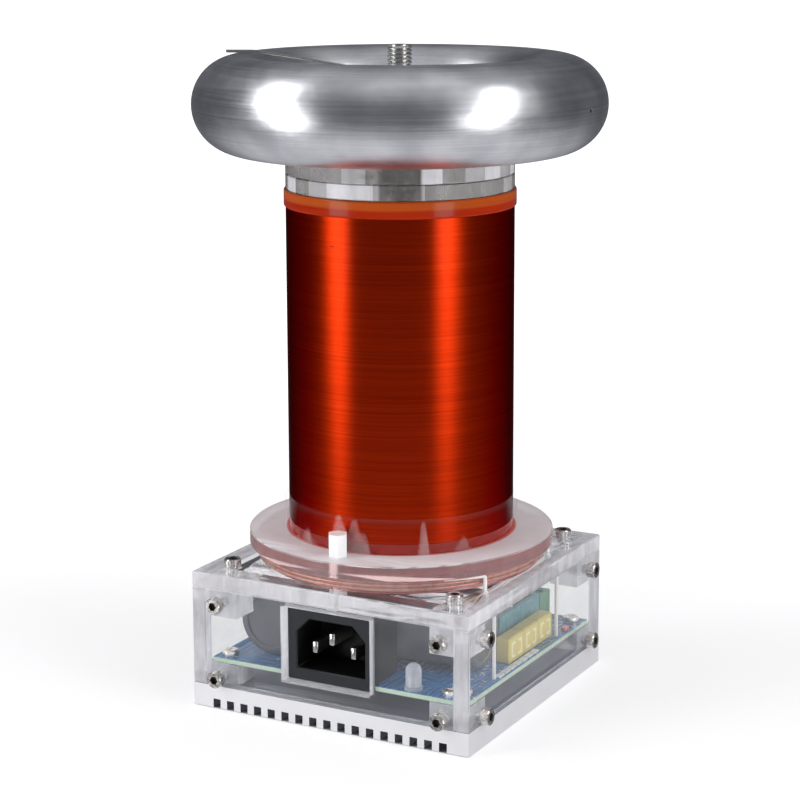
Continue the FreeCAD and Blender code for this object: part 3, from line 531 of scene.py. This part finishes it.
# ---------------------------------------------------------------- circuit board
# A glass-fibre board with blue solder mask over copper traces, its sawn edge pale green. It sits on
# the lower corner blocks under four pan-head screws.
def solder_mask(place, point):
    top = abs(place.node("TexCoord", out="Normal").parts()[2]).between(0.4, 0.8)
    flat = point.stretched(1, 1, 0)
    along = point.stretched(70, 1000, 0).noise(1, 1).between(0.50, 0.53)
    athwart = point.stretched(1000, 70, 0).noise(1, 1).between(0.50, 0.53)
    area = flat.noise(60, 1) > 0.5
    copper = along * (1 - area) + athwart * area
    vias = place.node("TexVoronoi", {"Vector": flat, "Scale": 190.0}).between(0.16, 0.11)
    print_marks = flat.noise(620, 1).between(0.66, 0.68) * point.parts()[0].between(34 * MM, 36 * MM)
    mask = copper.tint((0.016, 0.145, 0.38), (0.028, 0.205, 0.47))
    dotted = vias.tint(mask, (0.50, 0.56, 0.62))
    marked = print_marks.tint(dotted, (0.75, 0.76, 0.78))
    edge = point.noise(1500, 1).tint((0.42, 0.58, 0.42), (0.60, 0.72, 0.55))
    return {"Base Color": top.tint(edge, marked),
            "Roughness": copper * 0.1 + 0.22,
            "Normal": copper.bump(0.4, 0.00005)}


eased("circuit_board", 0.12 * MM, finish("blue_solder_mask", solder_mask, Specular_IOR_Level=0.3), slot="board_blue")


# ---------------------------------------------------------------- mains inlet
# A moulded black inlet with three nickel-plated blades, pushed into the window of the front panel.
# Its legs are soldered to the board.
def inlet_black(place, point):
    """Satin moulded black, with painted shade: its colour darkens from the face back into the socket."""
    grain = point.noise(2600, 2)
    depth = point.parts()[1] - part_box("mains_inlet_housing")[0][1]
    # Painted shade: the colour goes near black from 0.2 to 1.2 mm behind the face.
    return {"Base Color": depth.between(0.2 * MM, 1.2 * MM).tint((0.024, 0.026, 0.030), (0.0028, 0.0032, 0.0030)),
            "Roughness": grain * 0.2 + 0.34,
            "Normal": grain.bump(0.1, 0.00001)}


def bright_nickel(place, point):
    drawn = point.stretched(1, 0.1, 1).noise(2200, 2)
    return {"Base Color": drawn.tint((0.74, 0.73, 0.70), (0.90, 0.89, 0.87)), "Roughness": drawn * 0.15 + 0.16}


inlet_finish = finish("inlet_black", inlet_black, Specular_IOR_Level=0.22)
eased("mains_inlet_housing", 0.35 * MM, inlet_finish, slot="inlet_black")
eased("mains_inlet_blades", 0.2 * MM, finish("bright_nickel", bright_nickel, Metallic=1.0), slot="blade_nickel")


# ---------------------------------------------------------------- reservoir capacitors
# Two aluminium can capacitors in shrunk grey sleeves, lying on the board: a crimped groove and a
# rubber seal at one end, a bare can with a scored vent at the other.
def sleeve(place, point):
    shrink_marks = point.noise(160, 3)
    return {"Base Color": shrink_marks.tint((0.085, 0.087, 0.105), (0.12, 0.123, 0.145)),
            "Roughness": shrink_marks * 0.2 + 0.26,
            "Normal": shrink_marks.bump(0.25, 0.0002)}


def can_end(place, point):
    spun = point.noise(300, 2)
    return {"Base Color": spun.tint((0.20, 0.205, 0.22), (0.34, 0.345, 0.36)), "Roughness": spun * 0.2 + 0.35}


def can_capacitor(radius, length):
    """Sleeve, crimp, seal and scored end of one capacitor, along +Z from its seal."""
    shape = bmesh.new()
    lip = 0.9 * MM
    turned(shape, [(0, 0.6 * MM), (radius - 2.6 * MM, 0.6 * MM), (radius - 2.3 * MM, 0.1 * MM),
                   (radius - lip, 0), (radius - 0.25 * MM, 0.3 * MM), (radius, lip), (radius, 3.8 * MM),
                   (radius - 0.75 * MM, 4.4 * MM), (radius - 0.75 * MM, 5.0 * MM), (radius, 5.7 * MM),
                   (radius, length - lip), (radius - 0.3 * MM, length - 0.25 * MM),
                   (radius - lip, length), (radius - 1.8 * MM, length - 0.05 * MM),
                   (radius - 2.2 * MM, length - 0.4 * MM), (0, length - 0.4 * MM)], 56)
    bmesh.ops.recalc_face_normals(shape, faces=shape.faces)
    for face in shape.faces:
        middle = face.calc_center_median()
        if middle.xy.length < radius - 1.9 * MM:
            face.material_index = 1 if middle.z > length / 2 else 2
    return shape


sleeve_finish = finish("shrink_sleeve", sleeve, Specular_IOR_Level=0.3)
can_finish = finish("bare_can", can_end, Metallic=1.0)
reservoir_radius, reservoir_length = 11 * MM, 40 * MM
for node, direction in (("left_reservoir_capacitor", (0, 1, 0)), ("rear_reservoir_capacitor", (1, 0, 0))):
    low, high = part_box(node)
    foot = (Vector(low) + Vector(high)) / 2 - Vector(direction) * reservoir_length / 2
    piece(node + "_can", set_of(can_capacitor(reservoir_radius, reservoir_length), [(foot, direction)]),
          sleeve_finish, can_finish, sleeve_finish, slot="capacitor_sleeve", stands_for=[node], smooth=40)


# ---------------------------------------------------------------- film capacitors and driver board
# Three moulded yellow film capacitors in a row beside the right panel, and behind them a small board
# that stands on edge with the driver's two chips.
def yellow_box(place, point):
    """Moulded yellow with a pale printed bracket round each face, measured in millimetres from its corner."""
    y, z = point.parts()[1:]
    along = ((y + 9.4 * MM) / (11 * MM)).maths("FRACT") * 11.0
    up = (z - 16 * MM) * 1000
    frame_line = ((along > 1.5) * (along < 9.1) * (up > 1.7) * (up < 6.9)
                  - (along > 2.3) * (along < 8.3) * (up > 2.5) * (up < 6.1))
    gap = (along > 4.3) * (along < 6.3)
    skin = point.noise(500, 2)
    plain = skin.tint((0.62, 0.49, 0.11), (0.75, 0.61, 0.17))
    return {"Base Color": (frame_line * (1 - gap)).tint(plain, (0.86, 0.80, 0.50)),
            "Roughness": skin * 0.15 + 0.3,
            "Normal": skin.bump(0.2, 0.00005)}


def teal_mask(place, point):
    tracks = place.node("TexVoronoi", {"Vector": point.stretched(0, 1, 0.6), "Scale": 420.0},
                        feature="DISTANCE_TO_EDGE", distance="MANHATTAN").between(0.10, 0.14)
    return {"Base Color": tracks.tint((0.035, 0.20, 0.24), (0.07, 0.30, 0.34)),
            "Roughness": tracks * 0.1 + 0.3,
            "Normal": tracks.bump(0.4, 0.00005)}


def chip_black(place, point):
    grain = point.noise(3000, 2)
    return {"Base Color": point.noise(200).tint((0.018, 0.018, 0.020), (0.032, 0.032, 0.034)),
            "Roughness": grain * 0.2 + 0.42,
            "Normal": grain.bump(0.3, 0.00002)}


chip_finish = finish("chip_black", chip_black)
eased("film_capacitors", 0.5 * MM, finish("yellow_box", yellow_box), slot="film_yellow")
eased("driver_board", 0.12 * MM, finish("teal_mask", teal_mask), slot="driver_teal")
eased("driver_chips", 0.35 * MM, chip_finish, slot="chip_black")


# ---------------------------------------------------------------- lamps and small parts on the board
# A clear 5 mm lamp with its cup and post inside, a row of pale chip resistors along the right edge
# and a tiny pink-red lamp at its end.
def lamp_epoxy(place, point):
    haze = point.noise(500, 2)
    return {"Base Color": haze.tint((0.90, 0.90, 0.93), (0.98, 0.98, 1.0)), "Roughness": haze * 0.12 + 0.12}


def lamp_haze(place, point):
    return point.noise(400, 2) * 0.2 + 0.38


def pale_ceramic(place, point):
    """Pale bodies with tinned ends, measured in millimetres from each one's end."""
    along = ((point.parts()[1] + 21.9 * MM) / (4.3 * MM)).maths("FRACT") * 4.3
    tinned = (along < 0.7) + (along > 2.5)
    return {"Base Color": tinned.tint((0.72, 0.73, 0.75), (0.90, 0.90, 0.91)),
            "Roughness": point.noise(900) * 0.2 + 0.28}


def red_lens(place, point):
    return {"Base Color": point.noise(800).tint((0.75, 0.10, 0.16), (0.90, 0.20, 0.28)),
            "Roughness": point.noise(1200) * 0.1 + 0.2}


lamp_x, lamp_y, board_top = 27.5 * MM, -41.3 * MM, 16 * MM
lamp_radius, flange_radius, dome_start = 2.5 * MM, 2.9 * MM, 6.1 * MM
dome = [(lamp_radius * math.cos(math.radians(bend)), dome_start + lamp_radius * math.sin(math.radians(bend)))
        for bend in range(0, 91, 10)]
lamp = bmesh.new()
turned(lamp, [(0, 0), (flange_radius, 0), (flange_radius, 0.9 * MM), (2.8 * MM, 1.0 * MM),
              (lamp_radius, 1.05 * MM)] + dome, 40)
bmesh.ops.recalc_face_normals(lamp, faces=lamp.faces)
bmesh.ops.translate(lamp, verts=lamp.verts, vec=(lamp_x, lamp_y, board_top))
lamp_finish = clear_plastic("lamp_epoxy", lamp_epoxy, frost=lamp_haze, frost_tint=(0.97, 0.97, 1.0))
piece("indicator_lamp_dome", lamp, lamp_finish, slot="lamp_clear", stands_for=["indicator_lamp"])
frame_parts = bmesh.new()
for across, top, thick in ((-0.75, 4.4, 0.5), (0.75, 5.0, 0.35)):
    bmesh.ops.create_cube(frame_parts, size=1, matrix=Matrix.Translation(
        (lamp_x + across * MM, lamp_y, board_top + (0.1 + top / 2) * MM))
        @ Matrix.Diagonal((thick * MM, 0.5 * MM, (top - 0.2) * MM, 1)))
bmesh.ops.create_cone(frame_parts, cap_ends=True, segments=16, radius1=0.6 * MM, radius2=1.1 * MM, depth=1.0 * MM,
                      matrix=Matrix.Translation((lamp_x - 0.45 * MM, lamp_y, board_top + 4.7 * MM)))
bmesh.ops.bevel(frame_parts, geom=frame_parts.edges[:], offset=0.05 * MM, affect="EDGES", segments=1,
                profile=0.5, material=-1)
piece("indicator_lamp_frame", frame_parts, screw_finish, slot="blade_nickel")
eased("chip_resistors", 0.1 * MM, finish("pale_ceramic", pale_ceramic), slot="resistor_ceramic")
eased("status_lamp", 0.15 * MM, finish("red_lens", red_lens), slot="status_red")


# ---------------------------------------------------------------- power parts at the back of the board
# A bridge rectifier on four legs, a ferrite ring with its gate windings, a glass fuse in brass clips,
# the primary's screw terminal, and two transistors bolted to the base plate through grey pads.
def ferrite(place, point):
    grain = point.noise(1400, 3)
    return {"Base Color": grain.tint((0.045, 0.045, 0.05), (0.085, 0.085, 0.09)), "Roughness": grain * 0.2 + 0.5,
            "Normal": grain.bump(0.3, 0.00004)}


def enamelled_copper(place, point):
    drawn = point.noise(1500, 2)
    return {"Base Color": drawn.tint((0.50, 0.18, 0.07), (0.68, 0.28, 0.11)), "Roughness": drawn * 0.15 + 0.22}


def spring_brass(place, point):
    tarnish = point.noise(600, 3)
    return {"Base Color": tarnish.tint((0.56, 0.40, 0.17), (0.80, 0.63, 0.33)), "Roughness": tarnish * 0.2 + 0.22}


def terminal_green(place, point):
    grain = point.noise(1800, 2)
    return {"Base Color": point.noise(120).tint((0.02, 0.17, 0.07), (0.035, 0.24, 0.10)),
            "Roughness": grain * 0.15 + 0.36, "Normal": grain.bump(0.2, 0.00003)}


def grey_pad(place, point):
    grain = point.noise(1200, 2)
    return {"Base Color": grain.tint((0.30, 0.31, 0.33), (0.40, 0.41, 0.43)), "Roughness": grain * 0.2 + 0.65}


def fuse_glass(place, point):
    """Glass between two end caps, which start 5 mm from the middle."""
    capped = abs(point.parts()[0] + 3 * MM).between(4.9 * MM, 5.1 * MM)
    return {"Base Color": capped.tint((0.86, 0.90, 0.90), (0.80, 0.79, 0.77)), "Metallic": capped,
            "Roughness": capped * 0.15 + 0.05}


copper_finish = finish("enamelled_copper", enamelled_copper, Metallic=1.0)
for node, chamfer, surface, slot_name in (
        ("bridge_rectifier", 0.4, chip_finish, "chip_black"),
        ("gate_transformer_core", 0.5, finish("ferrite", ferrite), "ferrite"),
        ("gate_transformer_winding", 0.25, copper_finish, "wire_enamel"),
        ("fuse_clips", 0.15, finish("spring_brass", spring_brass, Metallic=1.0), "clip_brass"),
        ("fuse", 0.3, finish("fuse_glass", fuse_glass), "fuse_glass"),
        ("primary_terminal", 0.25, finish("terminal_green", terminal_green), "terminal_green"),
        ("power_transistors", 0.15, chip_finish, "chip_black"),
        ("transistor_pads", 0.05, finish("grey_pad", grey_pad), "pad_grey")):
    eased(node, chamfer * MM, surface, slot=slot_name)


# ---------------------------------------------------------------- primary coil
# A few turns of stranded copper in a clear sleeve, laid round the hub between the top plate and the
# flange. Both ends run off at a tangent and down through the top plate.
def pink_sleeve(place, point):
    draw = point.noise(700, 2)
    return {"Base Color": draw.tint((0.93, 0.80, 0.79), (0.98, 0.90, 0.89)), "Roughness": draw * 0.1 + 0.06}


def bare_strand(place, point):
    lay = point.noise(2600, 2)
    return {"Base Color": lay.tint((0.34, 0.12, 0.07), (0.54, 0.23, 0.15)), "Roughness": lay * 0.2 + 0.25}


sleeve_clear = clear_plastic("pink_sleeve", pink_sleeve, frost=lambda place, point: point.noise(300) * 0.3 + 0.15,
                             frost_tint=(0.98, 0.80, 0.78), ior=1.3)
strand_finish = finish("bare_strand", bare_strand, Metallic=1.0)
low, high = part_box("primary_winding")
wire_radius, wire_pitch = 0.6 * MM, 1.25 * MM
hub_reach = 46.05 * MM
start_bearing, turn_count, coil_steps = math.radians(45.27), 3 - 2 * 45.27 / 360, 360
for name, radius, surface, stands_for in (("primary_sleeve", wire_radius, sleeve_clear, ["primary_winding"]),
                                          ("primary_strand", 0.36 * MM, strand_finish, [])):
    coil = bmesh.new()
    section = bmesh.ops.create_circle(coil, cap_ends=False, segments=12, radius=radius, matrix=(
        Matrix.Rotation(start_bearing, 4, "Z")
        @ Matrix.Translation((hub_reach + wire_radius, 0, low[2] + wire_radius))
        @ Matrix.Rotation(math.pi / 2, 4, "X")))["verts"]
    bmesh.ops.spin(coil, geom=section + coil.edges[:], cent=(0, 0, 0), axis=(0, 0, 1), steps=coil_steps,
                   angle=2 * math.pi * turn_count, dvec=(0, 0, wire_pitch * turn_count / coil_steps))
    bmesh.ops.holes_fill(coil, edges=coil.edges, sides=12)
    bmesh.ops.recalc_face_normals(coil, faces=coil.faces)
    piece(name, coil, surface, slot="insulated_primary", stands_for=stands_for, smooth=60)
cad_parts["primary_leads"].data.materials[0] = finish("white_sleeve", lambda place, point: {
    "Base Color": point.noise(900).tint((0.74, 0.68, 0.66), (0.88, 0.84, 0.82)),
    "Roughness": point.noise(1400) * 0.15 + 0.22})


# ---------------------------------------------------------------- nylon posts
# Two white nylon hexagon posts on nylon studs, with nuts under the top plate: they clamp the flange
# and the hub to the box.
def nylon(place, point):
    cloud = point.noise(300, 2)
    return {"Base Color": cloud.tint((0.80, 0.80, 0.80), (0.90, 0.90, 0.90)), "Roughness": cloud * 0.15 + 0.28}


nylon_finish = finish("nylon", nylon, Subsurface_Weight=0.25, Subsurface_Scale=0.002)
for node, chamfer in (("nylon_posts", 0.35), ("nylon_studs", 0.1), ("nylon_nuts", 0.2)):
    eased(node, chamfer * MM, nylon_finish, slot="nylon_white")


# ---------------------------------------------------------------- coil former, winding and varnish
# A clear tube wound with one layer of fine red enamelled wire under varnish. An amber band holds the
# last turns, and a clear bead stands round the foot.
def red_winding(place, point):
    turns = point.stretched(7, 7, 9000).noise(1, 2)
    wander = point.stretched(20, 20, 1500).noise(1, 2)
    flaw = point.stretched(70, 70, 300).noise(1, 4, 0.7).between(0.70, 0.76)
    tone = (turns * 0.6 + wander * 0.4).between(0.3, 0.7)
    foot = point.parts()[2].between(130 * MM, 60 * MM)
    red = tone.tint((0.42, 0.018, 0.002), (0.64, 0.038, 0.004))
    return {"Base Color": flaw.tint(red, (0.22, 0.012, 0.003)),
            "Roughness": (turns * 0.5 + wander * 0.5) * 0.08 + 0.33 - foot * 0.07,
            "Normal": turns.bump(0.15, 0.00004)}


def amber(place, point):
    flow = point.stretched(30, 30, 500).noise(1, 3)
    upper = point.parts()[2].between(163.6 * MM, 164.6 * MM)
    low_part = flow.tint((0.22, 0.008, 0.001), (0.40, 0.026, 0.001))
    high_part = flow.tint((0.28, 0.040, 0.005), (0.46, 0.080, 0.010))
    return {"Base Color": upper.tint(low_part, high_part), "Roughness": flow * 0.15 + 0.10}


winding_finish = finish("red_winding", red_winding, Metallic=1.0, Anisotropic=0.9, Anisotropic_Rotation=0.25,
                        Specular_Tint=(0.25, 0.02, 0.01), Coat_Weight=0.02, Coat_Roughness=0.04)
winding_low, winding_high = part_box("secondary_winding")
coil_radius, coil_bore = 36.9 * MM, 36.52 * MM
winding = bmesh.new()
turned(winding, [(coil_bore, winding_low[2]), (coil_radius - 0.15 * MM, winding_low[2]),
                 (coil_radius, winding_low[2] + 0.3 * MM), (coil_radius, winding_high[2] - 0.02 * MM),
                 (coil_bore, winding_high[2] - 0.02 * MM), (coil_bore, winding_low[2])], 180)
bmesh.ops.recalc_face_normals(winding, faces=winding.faces)
piece("secondary_winding_turns", winding, winding_finish, slot="winding_red", stands_for=["secondary_winding"])
clear_tube = clear_plastic("former_tube", cut_sheet(2))
eased("coil_former", 0.2 * MM, clear_tube, slot="former_clear", shrink=shrink)
amber_finish = finish("amber_band", amber, Specular_IOR_Level=0.12, Coat_Weight=0.05, Coat_Roughness=0.03)
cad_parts["end_band"].data.materials[0] = amber_finish


def clear_bead(place, point):
    """Almost clear varnish: whitish runs that taper upwards, a soft crest and a rim seen edge on."""
    height = point.parts()[2]
    rise = (height - 55 * MM) * 16
    turned_point = point.node("VectorRotate", {"Vector": point, "Angle": 0.2}, rotation_type="Z_AXIS")
    spikes = (turned_point.stretched(1, 1, 0.10).noise(150, 1) - rise).between(0.50, 0.55)
    crest = height.between(64.6 * MM, 66.0 * MM)
    rim = place.node("LayerWeight", {"Blend": 0.5}, out="Facing").between(0.72, 1.0)
    return {"Base Color": point.noise(200).tint((0.90, 0.72, 0.72), (0.96, 0.86, 0.87)),
            "Roughness": point.noise(400) * 0.1 + 0.05,
            "Alpha": spikes * 0.10 + crest * 0.008 + rim * 0.16 + 0.0010}


def red_varnish(place, point):
    flow = point.noise(220, 3)
    return {"Base Color": flow.tint((0.16, 0.006, 0.003), (0.34, 0.014, 0.006)), "Roughness": flow * 0.15 + 0.12}


eased("base_collar", 0.25 * MM, finish("varnish_bead", clear_bead), slot="collar_clear", shrink=shrink)
eased("winding_foot", 0.1 * MM, finish("red_varnish", red_varnish), slot="former_clear", shrink=shrink)
for node in ("ground_lead", "high_voltage_lead"):
    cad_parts[node].data.materials[0] = copper_finish


# ---------------------------------------------------------------- stud, nuts and washers
# An M8 zinc-plated stud up the middle, with hexagon nuts and washers that clamp the cap discs and
# the ring's web.
def zinc_steel(place, point):
    plate = point.noise(500, 3)
    return {"Base Color": plate.tint((0.52, 0.51, 0.49), (0.78, 0.78, 0.77)), "Roughness": plate * 0.25 + 0.18}


zinc_finish = finish("zinc_steel", zinc_steel, Metallic=1.0)
low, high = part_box("terminal_stud")
stud = bmesh.new()
stud_radius, tip = 3.96 * MM, 0.7 * MM
threaded(stud, stud_radius, 0.62 * MM, 1.25 * MM, low[2], high[2], 32)
for vert in stud.verts:
    allowed = stud_radius - max(0, tip - min(high[2] - vert.co.z, vert.co.z - low[2]))
    if vert.co.xy.length > allowed:
        vert.co.xy *= allowed / vert.co.xy.length
bmesh.ops.recalc_face_normals(stud, faces=stud.faces)
piece("terminal_stud_threaded", stud, zinc_finish, slot="stud_steel", stands_for=["terminal_stud"])
eased("stud_nuts", 0.15 * MM, zinc_finish, slot="stud_steel")
eased("stud_washers", 0.15 * MM, zinc_finish, slot="stud_steel")


# ---------------------------------------------------------------- ring terminal
# A hollow aluminium ring spun from sheet, turned to a satin lustre, with a flat web across it. One
# small hole is drilled through its rim.
def spun_aluminium(place, point):
    x, y, z = point.parts()
    reach = (x * x + y * y).maths("SQRT")
    around = place.node("CombineXYZ", {0: x / reach, 1: y / reach, 2: z * 0})
    lines = place.node("TexNoise", {"Vector": around.stretched(1.2, 1.2, 0), "W": reach * 2200 + z * 1700,
                                    "Scale": 1.0, "Detail": 3.0}, noise_dimensions="4D")
    bands = place.node("TexNoise", {"Vector": around.stretched(2.5, 2.5, 0), "W": reach * 260 + z * 200,
                                    "Scale": 1.0, "Detail": 3.0}, noise_dimensions="4D")
    cloud = point.noise(70, 3)
    scratches = place.node("TexNoise", {"Vector": around.stretched(14, 14, 0), "W": reach * 3000 + z * 2600,
                                        "Scale": 1.0, "Detail": 2.0}, noise_dimensions="4D").between(0.55, 0.75)
    return {"Base Color": (lines * 0.35 + bands * 0.15 + cloud * 0.5).between(0.35, 0.65).tint(
                (0.62, 0.63, 0.665), (0.90, 0.905, 0.93)),
            "Roughness": (lines * 0.6 + cloud * 0.4) * 0.24 + 0.20,
            "Normal": (lines * 0.6 + scratches * 0.4).bump(0.45, 0.00010)}


ring_finish = finish("spun_aluminium", spun_aluminium, Metallic=1.0, Anisotropic=0.5, Anisotropic_Rotation=0.25)
ring_reach, tube_reach, ring_level = 51 * MM, 15.47 * MM, 194 * MM
ring = bmesh.new()
circle = bmesh.ops.create_circle(ring, cap_ends=False, segments=72, radius=tube_reach, matrix=(
    Matrix.Translation((ring_reach, 0, ring_level)) @ Matrix.Rotation(math.pi / 2, 4, "X")))["verts"]
bmesh.ops.spin(ring, geom=circle + ring.edges[:], cent=(0, 0, 0), axis=(0, 0, 1), angle=2 * math.pi, steps=216,
               use_merge=True)
bmesh.ops.remove_doubles(ring, verts=ring.verts, dist=1e-6)
bmesh.ops.recalc_face_normals(ring, faces=ring.faces)
drilled = max(ring.verts, key=lambda vert: vert.co.x - abs(vert.co.y) - abs(vert.co.z - ring_level))
hole_at = drilled.co.copy()
hole_radius, rim_radius = 0.6 * MM, 0.95 * MM
bmesh.ops.delete(ring, geom=[drilled], context="VERTS")
bmesh.ops.subdivide_edges(ring, edges=[edge for edge in ring.edges if edge.is_boundary], cuts=1)
mouth = bmesh.ops.edgeloop_fill(ring, edges=[edge for edge in ring.edges if edge.is_boundary])["faces"][0]
bmesh.ops.inset_individual(ring, faces=[mouth], thickness=0.1 * MM)
for vert in mouth.verts:
    out = Vector((0, vert.co.y - hole_at.y, vert.co.z - hole_at.z)).normalized() * rim_radius
    vert.co = (hole_at.x - 0.03 * MM, hole_at.y + out.y, hole_at.z + out.z)
mouth.normal_update()
if mouth.normal.x < 0:
    bmesh.ops.reverse_faces(ring, faces=[mouth])
for inner, sink in ((rim_radius - hole_radius, -0.15 * MM), (0.02 * MM, -2.0 * MM)):
    walls = bmesh.ops.inset_individual(ring, faces=[mouth], thickness=inner, depth=sink)["faces"]
bmesh.ops.recalc_face_normals(ring, faces=ring.faces)
# Painted shade: the drilled hole's walls and floor take the dark recess material.
for face in walls + [mouth]:
    face.material_index = 1
piece("ring_shell_spun", ring, ring_finish, recess_shade_finish, slot="ring_aluminium", body="ring",
      stands_for=["ring_shell"], smooth=50)
eased("ring_web", 0.1 * MM, ring_finish, slot="ring_aluminium", body="ring")


# ---------------------------------------------------------------- discharge wire
# A straight length of steel wire with an eye round the stud. It leans on the ring's crest and sparks
# leave from its end.
def bright_wire(place, point):
    drawn = point.noise(1800, 2)
    return {"Base Color": drawn.tint((0.30, 0.29, 0.28), (0.52, 0.51, 0.50)), "Roughness": drawn * 0.2 + 0.22}


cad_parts["discharge_wire"].data.materials[0] = finish("bright_wire", bright_wire, Metallic=1.0)
